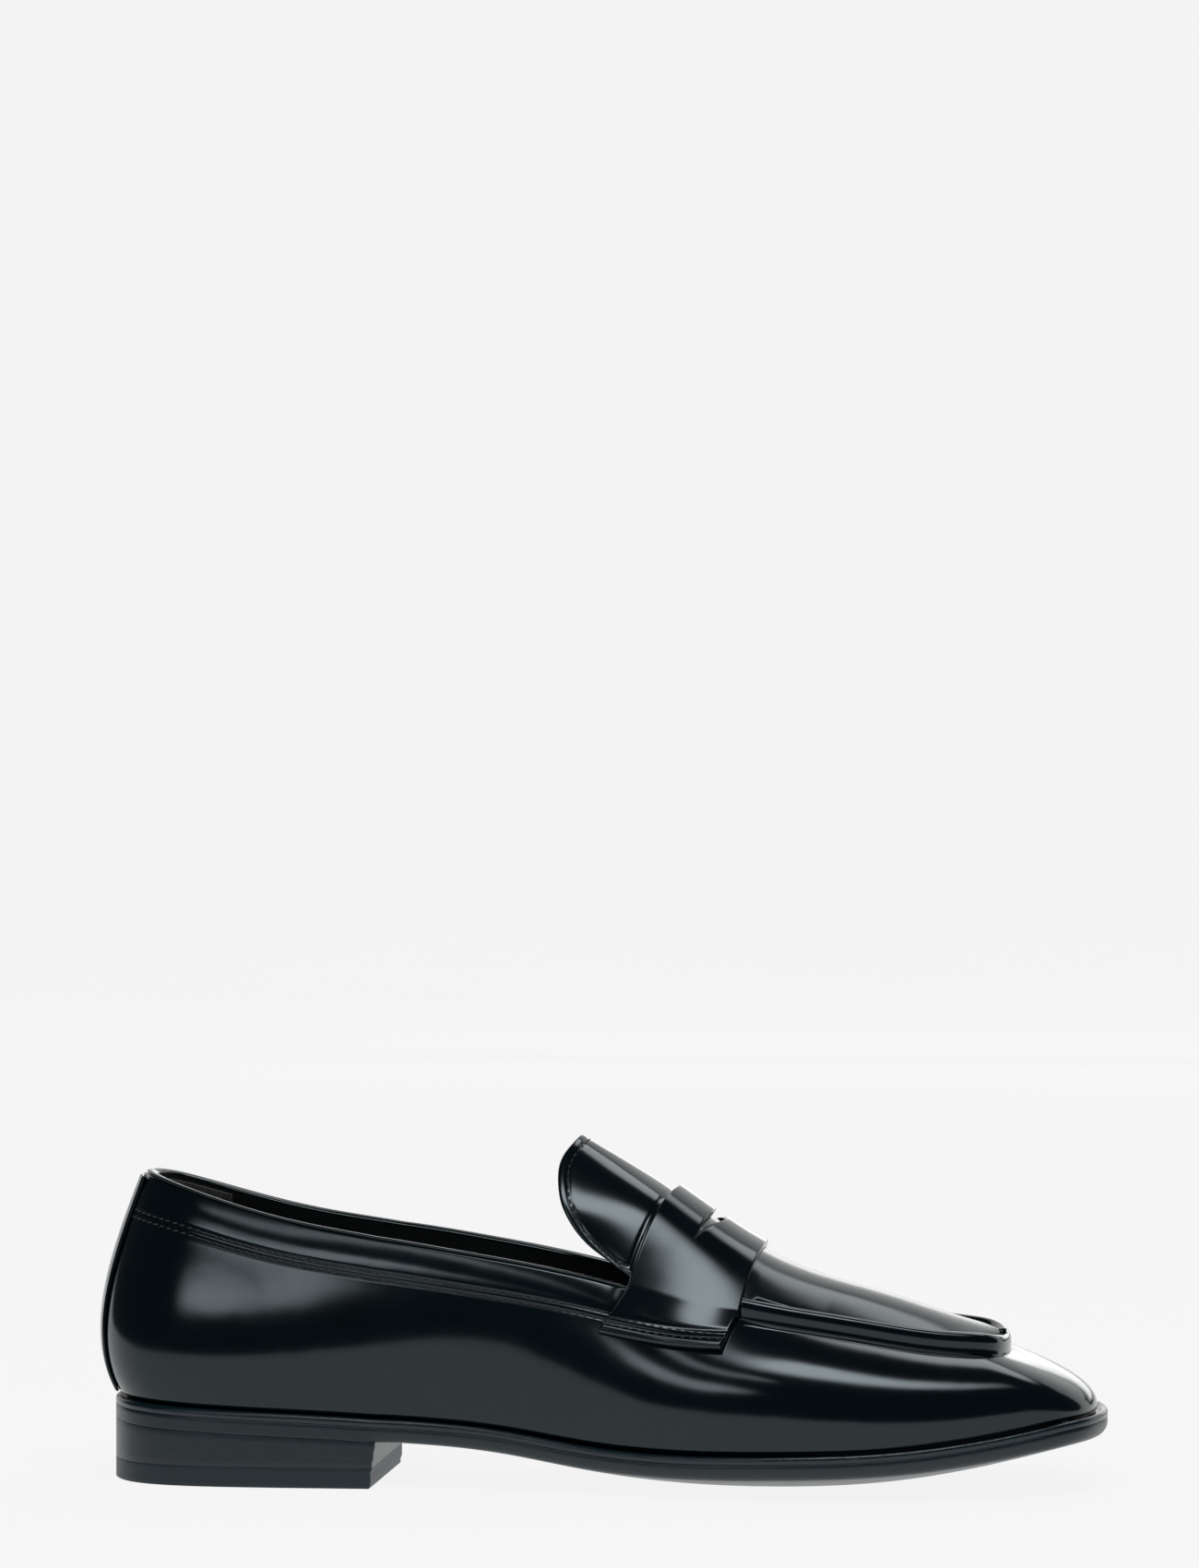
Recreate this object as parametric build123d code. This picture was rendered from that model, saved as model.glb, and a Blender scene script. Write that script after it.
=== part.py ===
from build123d import *
from functools import lru_cache
import math
import os
import numpy as np

# Penny loafer, right foot.  X runs from the heel to the toe, Z is up, and the
# outer side of the foot is at -Y.  All sizes are in millimetres.

# ---- overall sizes ----
LENGTH = 300.0          # back of the upper to the tip of the sole
WIDTH = 100.0           # sole across the ball
BACK_HEIGHT = 66.4      # welt to the topline at the heel
INSTEP_RISE = 26.8      # crown of the vamp above its sides, under the strap
HEEL_HEIGHT = 18.0      # ground to the outsole at the back
TOE_SPRING = 16.0       # ground to the outsole at the tip
CAMBER = 6.4            # how far the sole's edge rises above its middle at the ball

# ---- bottom ----
OUTSOLE = 4.3
WELT = 2.6
TOP_PIECE = 6.0         # rubber layer that meets the ground under the heel
HEEL_LENGTH = 83.0      # back of the heel to its breast
BREAST_SLANT = 1.6
SOLE_MARGIN_HEEL = 1.7  # how far the sole stands out past the upper
SOLE_MARGIN_BALL = 3.2
INSOLE = 2.5
FILLER_INSET = 12.0     # edge of the cork, measured in from the upper
SHANK_LENGTH = 100.0
SHANK_WIDTH = 14.0
SHANK_THICKNESS = 1.2
SHANK_CENTRE = -42.0
SOCK = 0.9
HEEL_PAD = 2.5
NAIL_DIAMETER = 2.0
NAIL_HEAD = 4.0
NAIL_LENGTH = 14.0
NAIL_COUNT = 5
BRAD_DIAMETER = 1.6
BRAD_HEAD = 2.6
BRAD_COUNT = 9
BRAD_LENGTH = 9.0

# ---- upper ----
LEATHER = 1.4
LINING = 0.8
COUNTER = 1.2           # stiffener round the heel
PUFF = 0.9              # stiffener over the toe
SUEDE = 0.8
GAP = 0.1               # left between layers that are glued together
MARGIN = 10.0           # lasting margin, turned in under the insole
BACKSTAY_WIDTH = 24.0
STRAP = 1.4
STRAP_BACKING = 0.8
STRAP_WIDTH = 32.8      # over the crown, along the shoe's slope
SLOT_LENGTH = 42.0      # coin slot, across the strap
SLOT_WIDTH = 4.5
RIDGE_HEIGHT = 5.3      # rolled seam round the apron
RIDGE_WIDTH = 4.2
RIDGE_LIP = 3.2
BINDING = 0.9
TONGUE_LINING = 0.8
TONGUE_ROOT = 2.2       # length of tongue that lies under the strap

# The curves below are drawn for a shoe 300 long, 100 wide and 66.4 high at the back.
DRAWN_RISE = 26.8
SX = LENGTH / 300
SY = WIDTH / 100
SZ = BACK_HEIGHT / 66.4

# Fourteen stations from the middle of the heel (0) to the middle of the toe (13).
# Bottom edge of the upper: x, y on the outer side, y on the inner side.
FEATHER = [(-144, 1, 1), (-138, -19, 22), (-122, -28.5, 31), (-95, -30.5, 32.5), (-62, -30, 30),
           (-30, -31, 27.5), (0, -36, 29.5), (28, -43, 38), (55, -47.3, 45), (80, -46, 45.5),
           (105, -40, 42), (128, -31.5, 34.5), (142.5, -21, 24), (147.5, 1.5, 1.5)]
# Top edge of the wall: x, y on each side, height above the bottom edge.
TOP_EDGE = [(-137, 1, 1, 66.4), (-132, -11, 14, 65.4), (-117, -19, 22, 61.8), (-90, -24, 27, 55.8),
            (-60, -28, 30, 52.3), (-30, -30.5, 31, 49.9), (0, -32, 32, 48.8), (28, -32.5, 33, 43.4),
            (55, -31.5, 32.5, 37.2), (79, -29, 30.5, 32.4), (97, -26, 28, 27.2), (111, -22.5, 24, 22.1),
            (119, -16, 17.5, 18.4), (121.7, 1.5, 1.5, 17.1)]
# How the wall bulges: out and up from the bottom edge, out and down from the top edge.
BULGE = [(11, 17, 11, 27), (10, 17, 9, 27), (8, 18, 7, 24), (7, 18, 6, 22), (7, 18, 5, 20),
         (6, 18, 5, 18), (5, 17, 6, 17), (5, 18, 9, 15), (4.5, 18, 13, 7.5), (4, 16, 13.5, 6.5),
         (3.5, 13, 12.5, 5.5), (3, 10.5, 11.8, 4.8), (2.5, 8.2, 12, 4.1), (2, 8, 12.5, 3.8)]
# Crown of the vamp above its sides, from station 5 to the toe.
CROWN_SHARE = [1.75, 1.42, 1.0, 0.6, 0.45, 0.35, 0.24, 0.2, 0.18]
FIRST_CROWN = 5
TOE = 13
AROUND = 26

# Rim of the tongue: share of the way round, x, distance from the middle, height
# above the top of the wall at station 6.
TONGUE_RIM = [(0, -5.7, 0, 39.8), (0.22, -7.4, 8.2, 37.6), (0.45, -10.3, 15.7, 31.5), (0.6, -9.8, 21.0, 25),
              (0.72, -8.0, 24.2, 19.3), (0.84, -2.9, 26.8, 11.7), (1, 8.5, 29.2, 2.6)]

# Strap edges, as stations on the crown and at the ends, and the shape between.
STRAP_REAR = (6.8, 6.15)
STRAP_FRONT = (7.77, 7.48)
STRAP_SWEEP = 1.6
STRAP_END = 0.70        # how far down the wall the strap ends
SHOULDER = 0.72         # share of the strap that lies on the crown
SLOT_REAR = 0.41        # share of the strap's width behind the slot
STATION_BEHIND_STRAP = 6.75
PLUG_START = 6.97
RIDGE_START = 7.60      # under the front edge of the strap
RIDGE_RISE = 0.16       # stations over which the ridge rises to its full height


# ---- smooth curves ----
def closed_curve(values):
    """Periodic cubic spline through evenly numbered values."""
    values = np.array(values, float)
    count = len(values)
    system = 4 * np.eye(count) + np.roll(np.eye(count), 1, 0) + np.roll(np.eye(count), -1, 0)
    change = 3 * (np.roll(values, -1, 0) - np.roll(values, 1, 0))
    slope = np.linalg.solve(system, change)

    def at(t):
        i = math.floor(t)
        u = t - i
        a, b = i % count, (i + 1) % count
        return (values[a] * (1 + 2 * u) * (1 - u) ** 2 + slope[a] * u * (1 - u) ** 2
                + values[b] * u * u * (3 - 2 * u) - slope[b] * u * u * (1 - u))
    return at


def open_curve(xs, ys):
    """Natural cubic spline through points of rising x, level past its ends."""
    xs, ys = np.array(xs, float), np.array(ys, float)
    step = np.diff(xs)
    count = len(xs)
    system = np.eye(count)
    pull = np.zeros((count,) + ys.shape[1:])
    for i in range(1, count - 1):
        system[i, i - 1:i + 2] = step[i - 1], 2 * (step[i - 1] + step[i]), step[i]
        pull[i] = 6 * ((ys[i + 1] - ys[i]) / step[i] - (ys[i] - ys[i - 1]) / step[i - 1])
    bend = np.linalg.solve(system, pull)

    def at(x):
        x = min(max(x, xs[0]), xs[-1])
        i = min(int(np.searchsorted(xs, x, "right")) - 1, count - 2)
        h, a, b = step[i], xs[i + 1] - x, x - xs[i]
        return ((bend[i] * a ** 3 + bend[i + 1] * b ** 3) / (6 * h)
                + (ys[i] / h - bend[i] * h / 6) * a + (ys[i + 1] / h - bend[i + 1] * h / 6) * b)
    return at


def round_the_shoe(rows, inner):
    """Lay station rows out along the outer side and back along the inner side."""
    outer_side = [inner(row, 1) for row in rows]
    inner_side = [inner(row, 2) for row in rows[-2:0:-1]]
    return closed_curve(outer_side + inner_side)


feather = round_the_shoe(FEATHER, lambda row, side: (row[0] * SX, row[side] * SY))
top_edge = round_the_shoe(TOP_EDGE, lambda row, side: (row[0] * SX, row[side] * SY, row[3] * SZ))
bulge = round_the_shoe(BULGE, lambda row, side: (row[0] * SY, row[1] * SZ, row[2] * SY, row[3] * SZ))
crown_share = open_curve(range(FIRST_CROWN, TOE + 1), CROWN_SHARE)
tongue_rim = open_curve([-row[0] for row in TONGUE_RIM[:0:-1]] + [row[0] for row in TONGUE_RIM],
                        [(row[1] * SX, -row[2] * SY, row[3]) for row in TONGUE_RIM[:0:-1]]
                        + [(row[1] * SX, row[2] * SY, row[3]) for row in TONGUE_RIM])
# Middle of the outsole's underside, from the heel to the toe.
ground_line = open_curve(
    [-152 * SX, -112 * SX, -77 * SX, -50 * SX, -25 * SX, 0, 25 * SX, 55 * SX, 85 * SX, 115 * SX, 150 * SX],
    [HEEL_HEIGHT, 0.88 * HEEL_HEIGHT, 0.80 * HEEL_HEIGHT, 0.70 * HEEL_HEIGHT, 0.52 * HEEL_HEIGHT,
     0.23 * HEEL_HEIGHT, 0.05 * HEEL_HEIGHT, 0, 0.1 * TOE_SPRING, 0.42 * TOE_SPRING, TOE_SPRING])
camber_share = open_curve([-65 * SX, -35 * SX, 0, 30 * SX, 150 * SX], [0, 0.45, 0.9, 1, 1])


def under_sole(x, y):
    """Height of the outsole's underside."""
    return ground_line(x) + camber_share(x) * CAMBER * (y / (WIDTH / 2)) ** 2


# ---- the shape of the upper ----
@lru_cache(None)
def outward(t):
    """Level unit vector that points out of the shoe at a station."""
    along = feather(t + 0.01) - feather(t - 0.01)
    return np.array([along[1], -along[0], 0]) / np.hypot(*along)


def bezier(a, b, c, d, u):
    return a * (1 - u) ** 3 + 3 * b * u * (1 - u) ** 2 + 3 * c * u * u * (1 - u) + d * u ** 3


@lru_cache(None)
def foot_of(t):
    """Bottom edge of the upper, on top of the welt."""
    x, y = feather(t)
    return np.array([x, y, under_sole(x, y) + OUTSOLE + WELT])


@lru_cache(None)
def rim_of(t):
    """Top edge of the wall."""
    x, y, height = top_edge(t)
    return np.array([x, y, foot_of(t)[2] + height])


@lru_cache(None)
def wall_line(t):
    """Four points of the curve that the wall follows at a station."""
    low, high, out = foot_of(t), rim_of(t), outward(t)
    out_low, up_low, out_high, down_high = bulge(t)
    up = np.array([0, 0, 1])
    return low, low + out * out_low + up * up_low, high + out * out_high - up * down_high, high


def wall_point(t, w):
    """Outside of the wall, from its bottom edge (w=0) to its top edge (w=1)."""
    return bezier(*wall_line(t), w)


@lru_cache(None)
def down_wall(t):
    """Unit vector down the wall at its top edge."""
    _, _, out_high, down_high = bulge(t)
    way = outward(t) * out_high - np.array([0, 0, down_high])
    return way / np.linalg.norm(way)


def ridge_share(t):
    """Share of the ridge's full height at a station: none under the strap."""
    return min(max((min(t, AROUND - t) - RIDGE_START) / RIDGE_RISE, 0), 1)


@lru_cache(None)
def seam_edge(t):
    """Inner side of the raised seam; behind the seam's start, the top edge of the wall."""
    along = min(max(min(t, AROUND - t) - RIDGE_START, 0), 1)
    height = (1.15 - 0.43 * along) * RIDGE_HEIGHT
    return rim_of(t) + ridge_share(t) * (np.array([0, 0, height]) - outward(t) * (RIDGE_WIDTH + GAP))


@lru_cache(None)
def crown_line(t, side, edge_of):
    """Four points of the curve from the crest to one side (-1 outer, 1 inner)."""
    middle = (rim_of(t) + rim_of(AROUND - t)) / 2
    crest = middle + np.array([0, 0, crown_share(t) * INSTEP_RISE * SZ])
    edge = edge_of(t if side < 0 else AROUND - t)
    reach = edge - crest
    level = np.array([reach[0], reach[1], 0])
    slope = np.array([0.38 * reach[0], 0.38 * reach[1], 0.76 * reach[2]])
    return crest, crest + 0.5 * level, edge - slope, edge


def crown_point(t, v):
    """Outside of the vamp between the wall's top edges, v from -1 (outer side) to 1."""
    return bezier(*crown_line(t, -1 if v < 0 else 1, rim_of), abs(v))


def plug_point(t, v):
    """Outside of the plug, between the two sides of the raised seam."""
    return bezier(*crown_line(t, -1 if v < 0 else 1, seam_edge), abs(v))


def hoop_point(t, s):
    """Outside of crown and wall together; s is 1 at the ends of the strap."""
    if abs(s) <= SHOULDER:
        return crown_point(t, s / SHOULDER)
    w = 1 - (abs(s) - SHOULDER) / (1 - SHOULDER) * (1 - STRAP_END)
    return wall_point(t if s < 0 else AROUND - t, w)


def tongue_point(r, v):
    """Outside of the tongue, from its rim (r=0) to its root under the strap (r=1)."""
    root_t = strap_t(0, abs(v) * SHOULDER) + TONGUE_ROOT / (28 * SX)
    root = crown_point(root_t, v * 0.96)
    back = crown_point(root_t - 0.05, v * 0.96) - root
    x, y, height = tongue_rim(v)
    rim = np.array([x, y + 0.5, rim_of(6)[2] + height * INSTEP_RISE / DRAWN_RISE * SZ])
    span = np.linalg.norm(rim - root)
    return bezier(rim, rim + (root - rim) * 0.34, root + back / np.linalg.norm(back) * 0.33 * span, root, r)


def strap_t(c, s):
    """Station on the strap, from its rear edge (c=0) to its front edge (c=1)."""
    sweep = abs(s) ** STRAP_SWEEP
    rear = STRAP_REAR[0] + (STRAP_REAR[1] - STRAP_REAR[0]) * sweep
    front = STRAP_FRONT[0] + (STRAP_FRONT[1] - STRAP_FRONT[0]) * sweep
    return rear + (front - rear) * c


@lru_cache(None)
def height_on_wall(t, rise):
    """Share of the way up the wall at which its lining is a given height above its foot."""
    low, high = 0.0, 1.0
    for _ in range(16):
        middle = (low + high) / 2
        if offset_point(wall_point, t, middle, LINING_DEPTH + LINING)[2] - foot_of(t)[2] < rise:
            low = middle
        else:
            high = middle
    return low


# ---- solids ----
def offset_point(surface, a, b, depth):
    """Point of a surface, moved in by a depth."""
    step = 0.004
    across = surface(a + step, b) - surface(a - step, b)
    along = surface(a, b + step) - surface(a, b - step)
    normal = np.cross(across, along)
    return surface(a, b) - depth * normal / np.linalg.norm(normal)


def face_through(grid, tolerance=0.02):
    points = [[tuple(float(value) for value in point) for point in row] for row in grid]
    return Face.make_surface_from_array_of_points(points, tol=tolerance, min_deg=3, max_deg=3)


def between(outer_grid, inner_grid, tolerance=0.02):
    """Solid between two grids of points, closed by ruled faces round the edge."""
    outer, inner = face_through(outer_grid, tolerance), face_through(inner_grid, tolerance)
    edges = [Face.make_surface_from_curves(a, b) for a, b in zip(outer.edges(), inner.edges())]
    solid = Solid(Shell([outer, inner, *edges]))
    return solid if solid.volume > 0 else Solid(Shell([outer, inner, *edges]).reversed())


def sheet(surface, a_range, b_range, depth, thickness, counts, tolerance=0.02):
    """Even sheet under a surface.  b_range may be a function of a."""
    grids = []
    for level in (depth, depth + thickness):
        grid = []
        for i in range(counts[0]):
            a = a_range[0] + (a_range[1] - a_range[0]) * i / (counts[0] - 1)
            low, high = b_range(a) if callable(b_range) else b_range
            row = [low + (high - low) * j / (counts[1] - 1) for j in range(counts[1])]
            grid.append([offset_point(surface, a, b, level) for b in row])
        grids.append(grid)
    return between(*grids, tolerance)


def plan_outline(inset_heel, inset_ball, samples=52):
    """Closed outline parallel to the upper's bottom edge, moved in by two insets."""
    points = []
    for i in range(samples):
        t = AROUND * i / samples
        x, y = feather(t)
        share = min(max((x / SX + 40) / 60, 0), 1)
        inset = inset_heel + (inset_ball - inset_heel) * share * share * (3 - 2 * share)
        way = outward(t)
        points.append((x - way[0] * inset, y - way[1] * inset, -20))
    return Face(Wire([Spline(*points, periodic=True)]))


def sole_surface(lift):
    """The shape of the sole's underside, moved up."""
    xs = np.linspace(-158 * SX, 158 * SX, 32)
    ys = np.linspace(-58 * SY, 58 * SY, 9)
    return face_through([[(x, y, under_sole(x, y) + lift) for y in ys] for x in xs])


def layer(outline, low, high):
    """Part of a layer of the bottom, between two heights above the underside."""
    slab = Solid.extrude(sole_surface(low), Vector(0, 0, high - low))
    column = Solid.extrude(outline, Vector(0, 0, 200))
    return (column & slab).solid()


def nail(x, y, head_z, diameter, head, length, way):
    """Flat-headed nail; way is -1 when it points down and 1 when it points up."""
    body = Pos(x, y, head_z + way * length / 2) * Cylinder(diameter / 2, length)
    cap = Pos(x, y, head_z + way * head / 8) * Cylinder(head / 2, head / 4)
    return (body + cap).solid()


def around_heel(count, length, width):
    """Places on an oval inside the heel, open towards the breast."""
    centre = -LENGTH / 2 + HEEL_LENGTH * 0.47
    turns = [math.radians(50 + 260 * i / (count - 1)) for i in range(count)]
    return [(centre + length / 2 * math.cos(turn), 1 + width / 2 * math.sin(turn)) for turn in turns]


BED = OUTSOLE + WELT                    # where the upper stands
INSOLE_LEVEL = BED + LEATHER + 2 * GAP  # underside of the insole
SOCK_LEVEL = INSOLE_LEVEL + INSOLE + GAP
LINING_DEPTH = LEATHER + COUNTER + 3 * GAP
LINING_FOOT = LEATHER + INSOLE + 7 * GAP


def heel_outline():
    """Plan of the heel: the sole's outline behind a slightly hollow breast."""
    breast = -LENGTH / 2 + HEEL_LENGTH + 4.3 * SX
    outline = plan_outline(-SOLE_MARGIN_HEEL, -SOLE_MARGIN_HEEL)
    mask = make_face(Polyline((breast, -60 * SY, -20), (breast, 60 * SY, -20), (-200 * SX, 60 * SY, -20),
                              (-200 * SX, -60 * SY, -20), close=True))
    return (outline & mask).face(), breast


def heel_parts():
    outline, breast = heel_outline()
    top_piece = Solid.extrude(outline, Vector(0, 0, TOP_PIECE)).moved(Location((0, 0, 20)))
    column = Solid.extrude(outline, Vector(0, 0, 120)).moved(Location((0, 0, 20 + TOP_PIECE)))
    above = Solid.extrude(sole_surface(0), Vector(0, 0, 150))
    slant = Plane(origin=(breast, 0, 0), x_dir=(0, 1, 0), z_dir=(HEEL_HEIGHT, 0, -BREAST_SLANT))
    block = (column - above).solid()
    return [piece.split(slant, keep=Keep.BOTTOM) for piece in (block, top_piece)]


def bottom_parts():
    block, top_piece = heel_parts()
    sole_edge = plan_outline(-SOLE_MARGIN_HEEL, -SOLE_MARGIN_BALL)
    cork_edge = plan_outline(FILLER_INSET, FILLER_INSET)
    welt = layer(sole_edge, OUTSOLE, BED) - layer(plan_outline(FILLER_INSET - GAP, FILLER_INSET - GAP),
                                                  OUTSOLE - 1, BED + 1)
    shank_plan = (Pos(SHANK_CENTRE * SX, 0, -20) * SlotOverall(SHANK_LENGTH, SHANK_WIDTH)).face()
    shank_low = OUTSOLE + (WELT - SHANK_THICKNESS) / 2
    shank = layer(shank_plan, shank_low, shank_low + SHANK_THICKNESS)
    cork = layer(cork_edge, OUTSOLE + GAP, BED + LEATHER) - layer(shank_plan, shank_low - GAP, BED + LEATHER + 1)
    bed_plan = plan_outline(LEATHER + 8 * GAP, LEATHER + 8 * GAP)
    sock_plan = plan_outline(LINING_DEPTH + LINING + 1.2, LINING_DEPTH + LINING + 4)
    pad_area = (Pos(-100 * SX, 0, -20) * Rectangle(70 * SX, 80 * SY)).face()
    pad_level = SOCK_LEVEL + SOCK + GAP
    pad = layer((plan_outline(11, 11) & pad_area).face(), pad_level, pad_level + HEEL_PAD)
    sock = layer(sock_plan, SOCK_LEVEL, SOCK_LEVEL + SOCK)
    heel_nails = [nail(x, y, under_sole(x, y) + SOCK_LEVEL - 3 * GAP, NAIL_DIAMETER, NAIL_HEAD, NAIL_LENGTH, -1)
                  for x, y in around_heel(NAIL_COUNT, 40 * SX, 34 * SY)]
    brads = [nail(x, y, 0, BRAD_DIAMETER, BRAD_HEAD, BRAD_LENGTH, 1)
             for x, y in around_heel(BRAD_COUNT, 58 * SX, 48 * SY)]
    return {"outsole": layer(sole_edge, 0, OUTSOLE), "welt": welt, "heel_block": block,
            "heel_nails": heel_nails, "top_piece_brads": brads,
            "heel_top_piece": top_piece, "cork_filler": cork, "shank": shank,
            "insole_board": layer(bed_plan, INSOLE_LEVEL, INSOLE_LEVEL + INSOLE),
            "heel_pad": pad, "sock_lining": sock}


def strap_point(c, s):
    return hoop_point(strap_t(c, s), s)


def strap_place(c, y):
    """Point of the strap at a distance from the middle of the shoe."""
    low, high = -SHOULDER, SHOULDER
    for _ in range(20):
        s = (low + high) / 2
        low, high = (s, high) if strap_point(c, s)[1] < y else (low, s)
    return strap_point(c, low)


def coin_slot():
    """Lens-shaped cutter that follows the strap, straight behind and curved in front."""
    ys = [0.5 + SLOT_LENGTH / 2 * share for share in (-1, -0.7, -0.35, 0, 0.35, 0.7, 1)]
    share = SLOT_WIDTH / STRAP_WIDTH
    edges = []
    for width in (0, share):
        cs = [SLOT_REAR + width * (1 - (2 * (y - 0.5) / SLOT_LENGTH) ** 2) for y in ys]
        edges.append(Spline(*[Vector(*strap_place(c, y)[:2], 0) for c, y in zip(cs, ys)]))
    return Solid.extrude(make_face(edges).face(), Vector(0, 0, 300))


def apron_ridge():
    """Rolled seam that stands up round the apron, with a lip that lies on the wall."""
    start = RIDGE_START + RIDGE_RISE / 4
    tops, bases = [], []
    for i in range(81):
        t = start + (AROUND - 2 * start) * i / 80
        corner, down = rim_of(t), down_wall(t)
        proud = np.cross(np.cross(np.array([0, 0, 1.0]), outward(t)), down)
        out, up = ridge_share(t) * outward(t), np.array([0, 0, ridge_share(t)])
        top = [down * RIDGE_LIP + proud * 0.9, down * 1.8 + proud * 1.0, down * 0.6 + proud * 1.1,
               out * 0.5 + up * RIDGE_HEIGHT * 0.38, out * 0.3 + up * RIDGE_HEIGHT * 0.75,
               up * RIDGE_HEIGHT - out * 0.5, up * RIDGE_HEIGHT * 1.06 - out * RIDGE_WIDTH * 0.4,
               up * RIDGE_HEIGHT * 1.02 - out * RIDGE_WIDTH * 0.75, up * RIDGE_HEIGHT * 0.85 - out * RIDGE_WIDTH]
        base = [down * RIDGE_LIP + proud * 0.15, down * 2.4 + proud * 0.15, down * 1.6 + proud * 0.15,
                down * 0.8 + proud * 0.15, proud * 0.2, up * 0.9 - out * RIDGE_WIDTH * 0.3,
                up * 1.5 - out * RIDGE_WIDTH * 0.55, up * 2.1 - out * RIDGE_WIDTH * 0.8,
                up * 2.6 - out * RIDGE_WIDTH]
        tops.append([corner + point for point in top])
        bases.append([corner + point for point in base])
    # Its long faces are divided at the toe.
    sides = between(tops, bases, 0.05).split(Plane(origin=(0, 1, 0), z_dir=(0, 1, 0)), keep=Keep.BOTH)
    return [side for side in sides if side] if isinstance(sides, (list, tuple)) else sides


def topline_binding():
    """Thin bound edge on top of the quarters."""
    back = strap_t(0, SHOULDER) - 0.03
    depth = LINING_DEPTH + LINING
    tops, bases = [], []
    for i in range(91):
        t = -back + 2 * back * i / 90
        edge = rim_of(t)
        inside = offset_point(wall_point, t, 1.0, depth)
        up = edge - wall_point(t, 0.97)
        up = up / np.linalg.norm(up)
        across = np.linspace(-0.02, 1.02, 7)
        rise = [GAP + BINDING * (0.35 + 0.65 * math.sin(math.pi * u)) for u in across]
        tops.append([edge + (inside - edge) * u + up * high for u, high in zip(across, rise)])
        bases.append([edge + (inside - edge) * u + up * GAP for u in across])
    return between(tops, bases)


def upper_parts():
    seam = 0.012
    back = STATION_BEHIND_STRAP
    lining_low = LINING_FOOT
    parts = {}
    wall = sheet(wall_point, (seam, AROUND - seam), (0, 1), 0, LEATHER, (131, 13))
    margin = layer(plan_outline(0.4, 0.4), BED + GAP / 2, BED + LEATHER) - layer(
        plan_outline(MARGIN, MARGIN), BED - 1, BED + LEATHER + 1)
    parts["skirt"] = (wall + margin).solid()
    parts["heel_counter"] = sheet(wall_point, (-3.4, 3.4), lambda t: (height_on_wall(t, lining_low), 0.66),
                                  LEATHER + GAP, COUNTER, (33, 8))
    parts["toe_puff"] = sheet(wall_point, (10.6, AROUND - 10.6), lambda t: (height_on_wall(t, lining_low), 0.93),
                              LEATHER + GAP, PUFF, (41, 6))
    parts["quarter_lining"] = sheet(wall_point, (-back, back), lambda t: (height_on_wall(t, lining_low), 1),
                                    LINING_DEPTH, LINING, (91, 11))
    parts["vamp_lining"] = sheet(wall_point, (back + 0.03, AROUND - back - 0.03),
                                 lambda t: (height_on_wall(t, lining_low), 0.985), LINING_DEPTH, LINING, (71, 9))
    parts["heel_grip"] = sheet(wall_point, (-2.1, 2.1), (0.5, 0.985), LINING_DEPTH + LINING + GAP, SUEDE, (25, 8))
    stay = BACKSTAY_WIDTH / 2 / np.linalg.norm(wall_point(1, 0.5) - wall_point(0, 0.5))
    parts["backstay"] = sheet(wall_point, (-stay, stay), (0.03, 0.985), -GAP - LEATHER * 0.7, LEATHER * 0.7, (9, 13))
    parts["plug"] = sheet(plug_point, (PLUG_START, 12.72), (-0.985, 0.985), 0, LEATHER, (57, 17), 0.04)
    parts["plug_lining"] = sheet(plug_point, (PLUG_START, 12.6), (-0.97, 0.97), LEATHER + GAP, LINING,
                                 (57, 17), 0.04)
    parts["tongue"] = sheet(tongue_point, (0, 1), (-1, 1), 0, LEATHER, (13, 31))
    parts["tongue_lining"] = sheet(tongue_point, (0, 0.985), (-0.985, 0.985), LEATHER + GAP, TONGUE_LINING, (13, 31))
    slot = coin_slot()
    backing = sheet(strap_point, (0.02, 0.98), (-0.985, 0.985), -GAP * 4 - STRAP_BACKING, STRAP_BACKING, (9, 41))
    strap = sheet(strap_point, (0, 1), (-1, 1), -GAP * 5 - STRAP_BACKING - STRAP, STRAP, (9, 41))
    parts["strap_backing"] = (backing - slot).solid()
    parts["saddle_strap"] = (strap - slot).solid()
    parts["apron_ridge"] = apron_ridge()
    parts["topline_binding"] = topline_binding()
    return parts


PARTS = {name: Compound(list(part)) if isinstance(part, (list, tuple)) else part
         for name, part in (bottom_parts() | upper_parts()).items()}
box = Compound(list(PARTS.values())).bounding_box()
# The origin is on the ground, under the middle of the shoe.
TO_ORIGIN = Location((-(box.min.X + box.max.X) / 2, -(box.min.Y + box.max.Y) / 2, -box.min.Z))
os.makedirs("parts", exist_ok=True)
for name, part in PARTS.items():
    export_step(part.moved(TO_ORIGIN), f"parts/{name}.step")
hinge = crown_point(strap_t(0, 0), 0)
print("moved by", TO_ORIGIN.position, "tongue hinge", Vector(*hinge) + TO_ORIGIN.position)
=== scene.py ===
import math

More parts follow.
